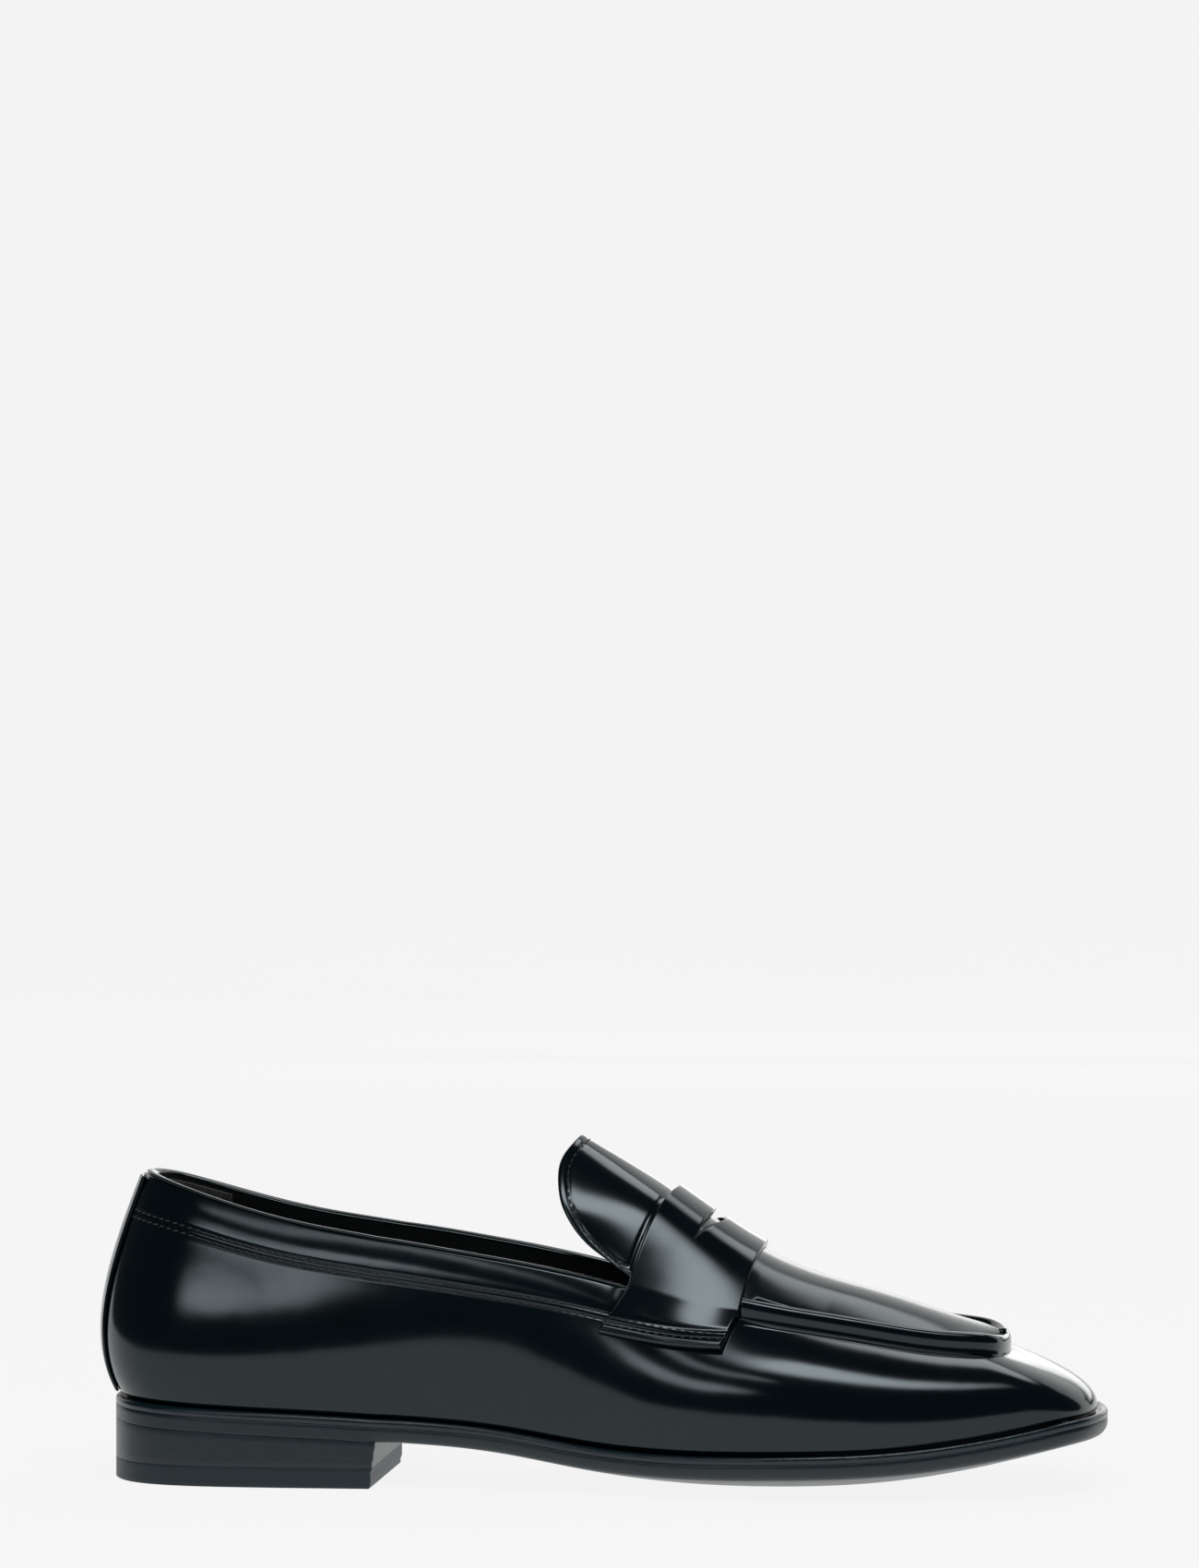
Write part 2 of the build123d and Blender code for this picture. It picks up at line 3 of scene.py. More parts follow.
import bmesh
import bpy
import numpy as np
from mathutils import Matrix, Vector


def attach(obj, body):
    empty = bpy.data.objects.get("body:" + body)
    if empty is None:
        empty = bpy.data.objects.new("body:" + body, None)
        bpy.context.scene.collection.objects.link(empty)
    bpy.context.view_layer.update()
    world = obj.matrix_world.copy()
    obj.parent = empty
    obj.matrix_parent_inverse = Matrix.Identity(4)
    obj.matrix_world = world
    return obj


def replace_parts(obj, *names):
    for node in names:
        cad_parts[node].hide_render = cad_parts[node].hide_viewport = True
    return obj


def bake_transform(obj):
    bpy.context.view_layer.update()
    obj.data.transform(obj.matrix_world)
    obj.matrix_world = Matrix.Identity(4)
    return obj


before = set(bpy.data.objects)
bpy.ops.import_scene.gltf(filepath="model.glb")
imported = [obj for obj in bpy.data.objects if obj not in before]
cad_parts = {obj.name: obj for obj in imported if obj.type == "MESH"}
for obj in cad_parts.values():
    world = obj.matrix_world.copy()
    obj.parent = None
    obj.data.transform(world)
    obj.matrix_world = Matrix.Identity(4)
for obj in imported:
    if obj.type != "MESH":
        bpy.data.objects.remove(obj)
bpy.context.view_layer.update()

MM = 0.001

# ---- sizes in millimetres, the same as in the CAD model ----
LENGTH = 300.0
WIDTH = 100.0
INSTEP_RISE = 26.8
HEEL_HEIGHT = 18.0
TOE_SPRING = 16.0
CAMBER = 6.4
OUTSOLE = 4.3
WELT = 2.6
TOP_PIECE = 6.0
HEEL_LENGTH = 83.0
BREAST_SLANT = 1.6
SOLE_MARGIN_HEEL = 1.7
SOLE_MARGIN_BALL = 3.2
HEEL_PAD = 2.5
PAD_LEVEL = 12.1     # top of the sock lining, above the underside of the sole
PAD_INSET = 11.0
PAD_FRONT = -65.0
LEATHER = 1.4
LINING_DEPTH = 2.9
LINING = 0.8
RIDGE_HEIGHT = 5.3
RIDGE_WIDTH = 4.2
RIDGE_LIP = 3.2
STRAP_WIDTH = 32.8
SLOT_LENGTH = 42.0
SLOT_WIDTH = 4.5
BACKSTAY_WIDTH = 24.0
BED = OUTSOLE + WELT
ORIGIN_SHIFT = np.array([-0.041, 0.784, 0.018])

# Stations from the middle of the heel (0) to the middle of the toe (13).
FEATHER = [(-144, 1, 1), (-138, -19, 22), (-122, -28.5, 31), (-95, -30.5, 32.5), (-62, -30, 30),
           (-30, -31, 27.5), (0, -36, 29.5), (28, -43, 38), (55, -47.3, 45), (80, -46, 45.5),
           (105, -40, 42), (128, -31.5, 34.5), (142.5, -21, 24), (147.5, 1.5, 1.5)]
TOP_EDGE = [(-137, 1, 1, 66.4), (-132, -11, 14, 65.4), (-117, -19, 22, 61.8), (-90, -24, 27, 55.8),
            (-60, -28, 30, 52.3), (-30, -30.5, 31, 49.9), (0, -32, 32, 48.8), (28, -32.5, 33, 43.4),
            (55, -31.5, 32.5, 37.2), (79, -29, 30.5, 32.4), (97, -26, 28, 27.2), (111, -22.5, 24, 22.1),
            (119, -16, 17.5, 18.4), (121.7, 1.5, 1.5, 17.1)]
BULGE = [(11, 17, 11, 27), (10, 17, 9, 27), (8, 18, 7, 24), (7, 18, 6, 22), (7, 18, 5, 20),
         (6, 18, 5, 18), (5, 17, 6, 17), (5, 18, 9, 15), (4.5, 18, 13, 7.5), (4, 16, 13.5, 6.5),
         (3.5, 13, 12.5, 5.5), (3, 10.5, 11.8, 4.8), (2.5, 8.2, 12, 4.1), (2, 8, 12.5, 3.8)]
CROWN_SHARE = [1.75, 1.42, 1.0, 0.6, 0.45, 0.35, 0.24, 0.2, 0.18]
TONGUE_RIM = [(0, -5.7, 0, 39.8), (0.22, -7.4, 8.2, 37.6), (0.45, -10.3, 15.7, 31.5), (0.6, -9.8, 21.0, 25),
              (0.72, -8.0, 24.2, 19.3), (0.84, -2.9, 26.8, 11.7), (1, 8.5, 29.2, 2.6)]
FIRST_CROWN = 5
TOE = 13
AROUND = 26
STRAP_REAR = (6.8, 6.15)
STRAP_FRONT = (7.77, 7.48)
STRAP_SWEEP = 1.6
STRAP_END = 0.70
SHOULDER = 0.72
SLOT_REAR = 0.41
PLUG_START = 6.97
RIDGE_START = 7.60
RIDGE_RISE = 0.16
UP = np.array([0.0, 0.0, 1.0])


# ---- smooth curves, evaluated for whole arrays at once ----
def closed_curve(values):
    """Periodic cubic spline through evenly numbered values."""
    values = np.array(values, float)
    count = len(values)
    system = 4 * np.eye(count) + np.roll(np.eye(count), 1, 0) + np.roll(np.eye(count), -1, 0)
    slope = np.linalg.solve(system, 3 * (np.roll(values, -1, 0) - np.roll(values, 1, 0)))

    def at(t):
        t = np.asarray(t, float)
        i = np.floor(t).astype(int)
        u = (t - i)[..., None]
        a, b = i % count, (i + 1) % count
        return (values[a] * (1 + 2 * u) * (1 - u) ** 2 + slope[a] * u * (1 - u) ** 2
                + values[b] * u * u * (3 - 2 * u) - slope[b] * u * u * (1 - u))
    return at


def open_curve(xs, ys):
    """Natural cubic spline through points of rising x, level past its ends."""
    xs, ys = np.array(xs, float), np.array(ys, float)
    flat = ys.ndim == 1
    ys = ys[:, None] if flat else ys
    step = np.diff(xs)
    count = len(xs)
    system = np.eye(count)
    pull = np.zeros_like(ys)
    for i in range(1, count - 1):
        system[i, i - 1:i + 2] = step[i - 1], 2 * (step[i - 1] + step[i]), step[i]
        pull[i] = 6 * ((ys[i + 1] - ys[i]) / step[i] - (ys[i] - ys[i - 1]) / step[i - 1])
    bend = np.linalg.solve(system, pull)

    def at(x):
        x = np.clip(np.asarray(x, float), xs[0], xs[-1])
        i = np.clip(np.searchsorted(xs, x, "right") - 1, 0, count - 2)
        h, a, b = step[i][..., None], (xs[i + 1] - x)[..., None], (x - xs[i])[..., None]
        found = ((bend[i] * a ** 3 + bend[i + 1] * b ** 3) / (6 * h)
                 + (ys[i] / h - bend[i] * h / 6) * a + (ys[i + 1] / h - bend[i + 1] * h / 6) * b)
        return found[..., 0] if flat else found
    return at


def round_the_shoe(rows, take):
    """Lay station rows out along the outer side and back along the inner side."""
    return closed_curve([take(row, 1) for row in rows] + [take(row, 2) for row in rows[-2:0:-1]])


feather = round_the_shoe(FEATHER, lambda row, side: (row[0], row[side]))
top_edge = round_the_shoe(TOP_EDGE, lambda row, side: (row[0], row[side], row[3]))
bulge = round_the_shoe(BULGE, lambda row, side: row)
crown_share = open_curve(range(FIRST_CROWN, TOE + 1), CROWN_SHARE)
tongue_rim = open_curve([-row[0] for row in TONGUE_RIM[:0:-1]] + [row[0] for row in TONGUE_RIM],
                        [(row[1], -row[2], row[3]) for row in TONGUE_RIM[:0:-1]]
                        + [(row[1], row[2], row[3]) for row in TONGUE_RIM])
ground_line = open_curve(
    [-152, -112, -77, -50, -25, 0, 25, 55, 85, 115, 150],
    [HEEL_HEIGHT, 0.88 * HEEL_HEIGHT, 0.80 * HEEL_HEIGHT, 0.70 * HEEL_HEIGHT, 0.52 * HEEL_HEIGHT,
     0.23 * HEEL_HEIGHT, 0.05 * HEEL_HEIGHT, 0, 0.1 * TOE_SPRING, 0.42 * TOE_SPRING, TOE_SPRING])
camber_share = open_curve([-65, -35, 0, 30, 150], [0, 0.45, 0.9, 1, 1])


def under_sole(x, y):
    return ground_line(x) + camber_share(x) * CAMBER * (y / (WIDTH / 2)) ** 2


def stack(x, y, z):
    return np.stack(np.broadcast_arrays(x, y, z), -1).astype(float)


def unit(v):
    return v / np.linalg.norm(v, axis=-1, keepdims=True)


# ---- the shape of the upper ----
def outward(t):
    """Level unit vector that points out of the shoe at a station."""
    along = feather(np.asarray(t) + 0.01) - feather(np.asarray(t) - 0.01)
    return unit(stack(along[..., 1], -along[..., 0], 0))


def bezier(a, b, c, d, u):
    u = np.asarray(u)[..., None]
    return a * (1 - u) ** 3 + 3 * b * u * (1 - u) ** 2 + 3 * c * u * u * (1 - u) + d * u ** 3


def foot_of(t):
    xy = feather(t)
    x, y = xy[..., 0], xy[..., 1]
    return stack(x, y, under_sole(x, y) + BED)


def rim_of(t):
    edge = top_edge(t)
    return stack(edge[..., 0], edge[..., 1], foot_of(t)[..., 2] + edge[..., 2])


def wall_point(t, w):
    """Outside of the wall, from its bottom edge (w=0) to its top edge (w=1)."""
    low, high, out, handle = foot_of(t), rim_of(t), outward(t), bulge(t)
    return bezier(low, low + out * handle[..., 0:1] + UP * handle[..., 1:2],
                  high + out * handle[..., 2:3] - UP * handle[..., 3:4], high, w)


def down_wall(t):
    handle = bulge(t)
    return unit(outward(t) * handle[..., 2:3] - UP * handle[..., 3:4])


def seam_edge(t):
    """Inner side of the raised seam; behind the seam's start, the top edge of the wall."""
    along = np.minimum(t, AROUND - np.asarray(t)) - RIDGE_START
    share = np.clip(along / RIDGE_RISE, 0, 1)[..., None]
    height = (1.15 - 0.43 * np.clip(along, 0, 1))[..., None] * RIDGE_HEIGHT
    return rim_of(t) + share * (height * UP - outward(t) * (RIDGE_WIDTH + 0.1))


def crown(t, v, edge_of):
    """Arch from side to side, v from -1 (outer side) to 1."""
    t, v = np.broadcast_arrays(np.asarray(t, float), np.asarray(v, float))
    crest = (rim_of(t) + rim_of(AROUND - t)) / 2 + crown_share(t)[..., None] * INSTEP_RISE * UP
    edge = np.where((v < 0)[..., None], edge_of(t), edge_of(AROUND - t))
    reach = edge - crest
    level = reach * np.array([1, 1, 0])
    slope = reach * np.array([0.38, 0.38, 0.76])
    return bezier(crest, crest + 0.5 * level, edge - slope, edge, np.abs(v))


def crown_point(t, v):
    return crown(t, v, rim_of)


def plug_point(t, v):
    return crown(t, v, seam_edge)


def hoop_point(t, s):
    """Outside of crown and wall together; s is 1 at the ends of the strap."""
    t, s = np.broadcast_arrays(np.asarray(t, float), np.asarray(s, float))
    over = crown_point(t, np.clip(s / SHOULDER, -1, 1))
    w = 1 - (np.abs(s) - SHOULDER) / (1 - SHOULDER) * (1 - STRAP_END)
    side = wall_point(np.where(s < 0, t, AROUND - t), w)
    return np.where((np.abs(s) <= SHOULDER)[..., None], over, side)


def strap_t(c, s):
    """Station on the strap, from its rear edge (c=0) to its front edge (c=1)."""
    sweep = np.abs(s) ** STRAP_SWEEP
    rear = STRAP_REAR[0] + (STRAP_REAR[1] - STRAP_REAR[0]) * sweep
    front = STRAP_FRONT[0] + (STRAP_FRONT[1] - STRAP_FRONT[0]) * sweep
    return rear + (front - rear) * c


def strap_point(c, s):
    return hoop_point(strap_t(c, s), s)


TONGUE_ROOT = 2.2


def bend_tongue(piece):
    """Bakes the piece's placement into its points; the leather is not bent."""
    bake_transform(piece)


def tongue_point(r, v):
    """Outside of the tongue, from its rim (r=0) to its root under the strap (r=1)."""
    r, v = np.broadcast_arrays(np.asarray(r, float), np.asarray(v, float))
    root_t = strap_t(0, np.abs(v) * SHOULDER) + TONGUE_ROOT / 28
    root = crown_point(root_t, v * 0.96)
    back = crown_point(root_t - 0.05, v * 0.96) - root
    place = tongue_rim(v)
    rim = stack(place[..., 0], place[..., 1] + 0.5, rim_of(6.0)[2] + place[..., 2])
    span = np.linalg.norm(rim - root, axis=-1, keepdims=True)
    return bezier(rim, rim + (root - rim) * 0.34, root + unit(back) * 0.33 * span, root, r)


def inward(surface, a, b, depth):
    """Points of a surface, moved in along its normal."""
    step = 0.004
    across = surface(a + step, b) - surface(a - step, b)
    along = surface(a, b + step) - surface(a, b - step)
    return surface(a, b) - np.asarray(depth)[..., None] * unit(np.cross(across, along))


# ---- meshes ----
def new_object(name, points, faces, material):
    """Smooth mesh object; points are millimetres in the drawing's own place."""
    mesh = bpy.data.meshes.new(name)
    placed = (np.asarray(points, float) + ORIGIN_SHIFT) * MM
    mesh.from_pydata(placed.tolist(), [], faces)
    mesh.validate()
    mesh.shade_smooth()
    obj = bpy.data.objects.new(name, mesh)
    bpy.context.scene.collection.objects.link(obj)
    obj.data.materials.append(material)
    return obj


def quads(rows, cols, start=0, wrap=False, flip=False):
    faces = []
    for i in range(rows if wrap else rows - 1):
        for j in range(cols - 1):
            a, b = start + i * cols + j, start + ((i + 1) % rows) * cols + j
            face = (a, b, b + 1, a + 1)
            faces.append(face[::-1] if flip else face)
    return faces


def running_length(points, axis):
    """Length of each line of points up to each of its points."""
    steps = np.linalg.norm(np.diff(points, axis=axis), axis=-1)
    return np.concatenate([np.zeros_like(steps.take([0], axis)), np.cumsum(steps, axis)], axis)


def edge_distance(grid, open_rows=True):
    """Distance in millimetres from each grid point to the nearest open edge."""
    run = running_length(grid, 1)
    best = np.minimum(run, run[:, -1:] - run)
    if open_rows:
        run = running_length(grid, 0)
        best = np.minimum(best, np.minimum(run, run[-1] - run))
    return best


def leather_sheet(name, surface, us, vs, depth, thickness, material, relief=None, wrap=False):
    """Closed sheet with rounded edges, lying between two depths under a surface."""
    a, b = np.meshgrid(us, vs, indexing="ij")
    middle = inward(surface, a, b, np.full(a.shape, depth + thickness / 2))
    distance = edge_distance(middle, not wrap)
    near = np.clip(distance / (thickness / 2), 0, 1)
    half = thickness / 2 * np.sqrt(np.clip(1 - (1 - near) ** 2, 0, 1))
    raise_by = relief(a, b, distance) if relief else 0
    outer = inward(surface, a, b, depth + thickness / 2 - half - raise_by)
    inner = inward(surface, a, b, depth + thickness / 2 + half)
    rows, cols = a.shape
    count = rows * cols
    faces = quads(rows, cols, 0, wrap, False) + quads(rows, cols, count, wrap, True)
    obj = new_object(name, np.concatenate([outer.reshape(-1, 3), inner.reshape(-1, 3)]), faces, material)
    weld(obj)
    return obj


def weld(obj, distance=0.00001):
    """Join the points that meet at rounded edges."""
    work = bmesh.new()
    work.from_mesh(obj.data)
    bmesh.ops.remove_doubles(work, verts=work.verts, dist=distance)
    bmesh.ops.recalc_face_normals(work, faces=work.faces)
    work.to_mesh(obj.data)
    work.free()
    obj.data.shade_smooth()


def crowded(low, high, count, edge, steps=5):
    """Values from low to high, crowded within a share of the range at each end."""
    ramp = edge * (np.arange(steps) / steps) ** 1.6
    inner = np.linspace(edge, 1 - edge, count - 2 * steps)
    shares = np.concatenate([ramp, inner, 1 - ramp[::-1]])
    return low + (high - low) * shares


def strip(name, sections, material, wrap=False):
    """Solid whose closed cross-sections are given one after another."""
    sections = np.asarray(sections)
    rows, cols = sections.shape[:2]
    faces = []
    for i in range(rows if wrap else rows - 1):
        for j in range(cols):
            a, b = i * cols + j, ((i + 1) % rows) * cols + j
            c, d = ((i + 1) % rows) * cols + (j + 1) % cols, i * cols + (j + 1) % cols
            faces.append((a, b, c, d))
    if not wrap:
        faces += [tuple(range(cols))[::-1], tuple((rows - 1) * cols + j for j in range(cols))]
    obj = new_object(name, sections.reshape(-1, 3), faces, material)
    weld(obj)
    return obj


# ---- materials ----
def material(name):
    found = bpy.data.materials.new(name)
    found.use_nodes = True
    nodes, links = found.node_tree.nodes, found.node_tree.links
    nodes.clear()
    out = nodes.new("ShaderNodeOutputMaterial")
    shader = nodes.new("ShaderNodeBsdfPrincipled")
    links.new(shader.outputs[0], out.inputs[0])
    place = nodes.new("ShaderNodeTexCoord").outputs["Object"]
    return found, nodes, links, shader, place


def noise(nodes, links, place, scale, detail=3.0, rough=0.5):
    made = nodes.new("ShaderNodeTexNoise")
    made.inputs["Scale"].default_value = scale
    made.inputs["Detail"].default_value = detail
    made.inputs["Roughness"].default_value = rough
    links.new(place, made.inputs["Vector"])
    return made.outputs["Fac"]


def cells(nodes, links, place, scale):
    made = nodes.new("ShaderNodeTexVoronoi")
    made.inputs["Scale"].default_value = scale
    links.new(place, made.inputs["Vector"])
    return made.outputs["Distance"]


def ramp(nodes, links, value, stops):
    made = nodes.new("ShaderNodeValToRGB")
    made.color_ramp.elements[0].position = stops[0][0]
    made.color_ramp.elements[0].color = stops[0][1]
    made.color_ramp.elements[1].position = stops[-1][0]
    made.color_ramp.elements[1].color = stops[-1][1]
    for position, colour in stops[1:-1]:
        made.color_ramp.elements.new(position).color = colour
    links.new(value, made.inputs[0])
    return made.outputs[0]


def spread(nodes, links, value, low, high):
    made = nodes.new("ShaderNodeMapRange")
    made.inputs["To Min"].default_value = low
    made.inputs["To Max"].default_value = high
    links.new(value, made.inputs["Value"])
    return made.outputs[0]


def bump(nodes, links, height, strength, distance, under=None):
    made = nodes.new("ShaderNodeBump")
    made.inputs["Strength"].default_value = strength
    made.inputs["Distance"].default_value = distance
    links.new(height, made.inputs["Height"])
    if under:
        links.new(under, made.inputs["Normal"])
    return made.outputs[0]


def grey(value, tint=(1, 1, 1)):
    return (value * tint[0], value * tint[1], value * tint[2], 1)


BLUE_BLACK = (0.14, 1.0, 1.5)
COOL = (0.80, 0.94, 1.0, 1)


def polished_leather(name, base=0.0028, rough=(0.10, 0.17), grain=0.05, waves=0.25):
    """Brush-off calf: nearly black, smooth finish over fine pores and slow waves."""
    made, nodes, links, shader, place = material(name)
    cloud = noise(nodes, links, place, 35, 4)
    shades = [(0.3, grey(base * 0.8, BLUE_BLACK)), (0.7, grey(base * 1.3, BLUE_BLACK))]
    colour = ramp(nodes, links, cloud, shades)
    links.new(colour, shader.inputs["Base Color"])
    links.new(spread(nodes, links, noise(nodes, links, place, 90, 5), *rough), shader.inputs["Roughness"])
    slow = bump(nodes, links, noise(nodes, links, place, 45, 2), waves, 0.0006)
    pores = bump(nodes, links, cells(nodes, links, place, 2600), grain, 0.00006, slow)
    links.new(pores, shader.inputs["Normal"])
    shader.inputs["IOR"].default_value = 1.5
    shader.inputs["Specular Tint"].default_value = COOL
    return made


def matt_leather(name, base=0.007, rough=(0.42, 0.6), grain=0.5, scale=1500, tint=(0.7, 1.0, 1.05)):
    made, nodes, links, shader, place = material(name)
    cloud = noise(nodes, links, place, 60, 4)
    colour = ramp(nodes, links, cloud, [(0.3, grey(base * 0.7, tint)), (0.7, grey(base * 1.4, tint))])
    links.new(colour, shader.inputs["Base Color"])
    links.new(spread(nodes, links, noise(nodes, links, place, 200, 4), *rough), shader.inputs["Roughness"])
    links.new(bump(nodes, links, cells(nodes, links, place, scale), grain, 0.0002), shader.inputs["Normal"])
    return made


def suede(name):
    made, nodes, links, shader, place = material(name)
    nap = noise(nodes, links, place, 900, 6, 0.7)
    patches = noise(nodes, links, place, 120, 3)
    mixed = nodes.new("ShaderNodeMath")
    mixed.operation = "ADD"
    links.new(nap, mixed.inputs[0])
    links.new(patches, mixed.inputs[1])
    colour = ramp(nodes, links, mixed.outputs[0], [(0.8, grey(0.012)), (1.2, grey(0.06))])
    links.new(colour, shader.inputs["Base Color"])
    shader.inputs["Roughness"].default_value = 0.95
    shader.inputs["Sheen Weight"].default_value = 0.4
    links.new(bump(nodes, links, nap, 0.6, 0.0004), shader.inputs["Normal"])
    return made


def edge_dressing(name, base=0.011, rough=(0.28, 0.42), streak=(1, 1, 9)):
    """Waxed sole edge: black ink over fibres that run along the layer."""
    made, nodes, links, shader, place = material(name)
    stretch = nodes.new("ShaderNodeMapping")
    stretch.inputs["Scale"].default_value = streak
    links.new(place, stretch.inputs["Vector"])
    fibres = noise(nodes, links, stretch.outputs[0], 220, 5, 0.6)
    shades = [(0.3, grey(base * 0.75, BLUE_BLACK)), (0.75, grey(base * 1.3, BLUE_BLACK))]
    colour = ramp(nodes, links, fibres, shades)
    links.new(colour, shader.inputs["Base Color"])
    links.new(spread(nodes, links, fibres, *rough), shader.inputs["Roughness"])
    links.new(bump(nodes, links, fibres, 0.25, 0.0002), shader.inputs["Normal"])
    return made


def thread_material(name):
    made, nodes, links, shader, place = material(name)
    wave = nodes.new("ShaderNodeTexWave")
    wave.inputs["Scale"].default_value = 1400
    wave.bands_direction = "DIAGONAL"
    links.new(place, wave.inputs["Vector"])
    colour = ramp(nodes, links, wave.outputs["Fac"], [(0.2, grey(0.006)), (0.8, grey(0.03))])
    links.new(colour, shader.inputs["Base Color"])
    shader.inputs["Roughness"].default_value = 0.42
    links.new(bump(nodes, links, wave.outputs["Fac"], 0.5, 0.0001), shader.inputs["Normal"])
    return made


def plain_metal(name, colour):
    made, nodes, links, shader, place = material(name)
    scratches = noise(nodes, links, place, 700, 4)
    worn = tuple(channel * 0.7 for channel in colour[:3]) + (1,)
    links.new(ramp(nodes, links, scratches, [(0.3, colour), (0.7, worn)]), shader.inputs["Base Color"])
    links.new(spread(nodes, links, scratches, 0.25, 0.45), shader.inputs["Roughness"])
    shader.inputs["Metallic"].default_value = 1.0
    return made


UPPER = polished_leather("polished_calf")
PLUG = polished_leather("polished_calf_plug", rough=(0.16, 0.23), waves=0.3)
LINING_LEATHER = matt_leather("lining_leather")
SUEDE = suede("heel_grip_suede")
SOLE_EDGE = edge_dressing("sole_edge")
WELT_EDGE = edge_dressing("welt_edge", rough=(0.2, 0.3))
HEEL_EDGE = edge_dressing("heel_edge", rough=(0.3, 0.42), streak=(1, 1, 5))
RUBBER = edge_dressing("heel_rubber", base=0.013, rough=(0.42, 0.55), streak=(1, 1, 1))
THREAD = thread_material("waxed_thread")
BOARD = matt_leather("fibre_board", base=0.35, grain=0.3, tint=(1, 0.85, 0.65))
DYED_BOARD = matt_leather("dyed_fibre_board", base=0.012, grain=0.3)
STEEL = plain_metal("steel", (0.6, 0.6, 0.6, 1))
BRASS = plain_metal("brass", (0.7, 0.5, 0.2, 1))

CARRIED = {
    "quarter_lining": LINING_LEATHER, "vamp_lining": LINING_LEATHER, "plug_lining": LINING_LEATHER,
    "sock_lining": LINING_LEATHER, "strap_backing": LINING_LEATHER,
    "heel_grip": SUEDE, "heel_counter": BOARD, "toe_puff": BOARD, "insole_board": DYED_BOARD,
    "cork_filler": BOARD, "shank": STEEL, "heel_nails": STEEL, "top_piece_brads": BRASS}


def dress_cad_nodes():
    for node, finish in CARRIED.items():
        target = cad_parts[node]
        target.data.materials.clear()
        target.data.materials.append(finish)


# ---- upper ----
def down_to(t, distance):
    """Share of the wall's height that lies a distance in millimetres below its top edge."""
    ws = np.linspace(1, 0, 90)
    t = np.atleast_1d(t)
    line = wall_point(np.repeat(t[:, None], 90, 1), np.repeat(ws[None], len(t), 0))
    distances = np.broadcast_to(distance, len(t))
    return np.array([np.interp(d, row, ws) for d, row in zip(distances, running_length(line, 1))])


COLLAR_ROWS = (12.0, 14.2)
COLLAR_ROWS_AT_STRAP = (9.0, 11.0)
COLLAR_ROLL = 7.0


def collar_row(t, which):
    """How far below the topline a collar stitch row runs."""
    share = np.clip(np.minimum(t, AROUND - t) / 6.2, 0, 1)
    return COLLAR_ROWS[which] + (COLLAR_ROWS_AT_STRAP[which] - COLLAR_ROWS[which]) * share ** 0.7


def skirt():
    ts = np.linspace(0, AROUND, 640, endpoint=False)
    ws = np.concatenate([np.linspace(0, 0.62, 34), np.linspace(0.63, 0.9, 60), np.linspace(0.905, 0.985, 14),
                         [0.989, 0.992, 0.995, 0.9975, 0.999, 1.0]])
    table = np.stack([down_to(ts, collar_row(ts, which)) for which in (0, 1)])

    def relief(a, b, distance):
        middle = (table[0] + table[1])[:, None] / 2
        lines = sum(np.exp(-((b - table[which][:, None]) / 0.009) ** 2) for which in (0, 1))
        behind_strap = np.clip((6.35 - np.minimum(a, AROUND - a)) / 0.1, 0, 1)
        pad = np.exp(-((b - middle - 0.05) / 0.06) ** 2)
        from_top = np.where(b > 0.5, distance, COLLAR_ROLL)
        rolled = np.clip(1 - from_top / COLLAR_ROLL, 0, 1) ** 2
        return behind_strap * (0.16 * pad - 0.22 * lines - 0.75 * rolled)

    body = leather_sheet("upper_skirt", wall_point, ts, ws, 0, LEATHER, UPPER, relief, wrap=True)
    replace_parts(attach(body, "shoe"), "skirt")


def plug():
    ts = crowded(PLUG_START, 12.9, 200, 0.02)
    vs = crowded(-0.999, 0.999, 90, 0.03)

    def relief(a, b, distance):
        tuck = np.exp(-distance / 0.9)
        toe_dip = np.clip((a - 11.2) / 1.6, 0, 1)
        return -0.35 * tuck - 1.0 * toe_dip * np.exp(-distance / 5.0)

    sheet = leather_sheet("upper_plug", plug_point, ts, vs, 0.0, LEATHER * 0.8, PLUG, relief)
    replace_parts(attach(sheet, "shoe"), "plug")


def ridge_profile(t):
    """Cross-sections of the raised seam: lip, stitched foot, outer wall, rolled top, inner side."""
    corner, out, down = rim_of(t)[:, None], outward(t)[:, None], down_wall(t)[:, None]
    proud = np.cross(np.cross(UP, out), down)
    height, width = RIDGE_HEIGHT, RIDGE_WIDTH
    lip = [(RIDGE_LIP, 0.05), (RIDGE_LIP + 0.25, 0.4), (RIDGE_LIP + 0.15, 0.95), (RIDGE_LIP - 0.3, 1.25),
           (2.2, 1.3), (1.5, 1.15), (0.95, 0.8), (0.7, 0.75)]
    wall = [(0.55, 0.30), (0.62, 0.45), (0.6, 0.62), (0.42, 0.78), (0.1, 0.9), (-0.4, 0.985), (-1.0, 1.03),
            (-1.8, 1.05), (-2.6, 1.03), (-3.3, 0.97), (-3.8, 0.88), (-4.15, 0.74), (-4.2, 0.55)]
    under = [(-3.4, 0.35), (-2.0, 0.2), (-0.8, 0.1)]
    points = [corner + down * d + proud * p for d, p in lip]
    points += [corner + out * o * width / 4.2 + UP * height * h for o, h in wall + under]
    points += [corner + down * 0.6 + proud * 0.05, corner + down * 2.0 + proud * 0.05]
    return np.concatenate(points, 1)


def apron_ridge():
    start = RIDGE_START + 0.02
    ts = np.concatenate([np.linspace(start, 11, 160), np.linspace(11, 15, 160)[1:],
                         np.linspace(15, AROUND - start, 160)[1:]])
    sections = ridge_profile(ts)
    seam = strip("upper_apron_ridge", sections, UPPER)
    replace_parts(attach(seam, "shoe"), "apron_ridge")


STRAP_DEPTH = -2.7       # its outside stands this far off the crown
STRAP_THICKNESS = 2.2
STRAP_ROLL = 0.55


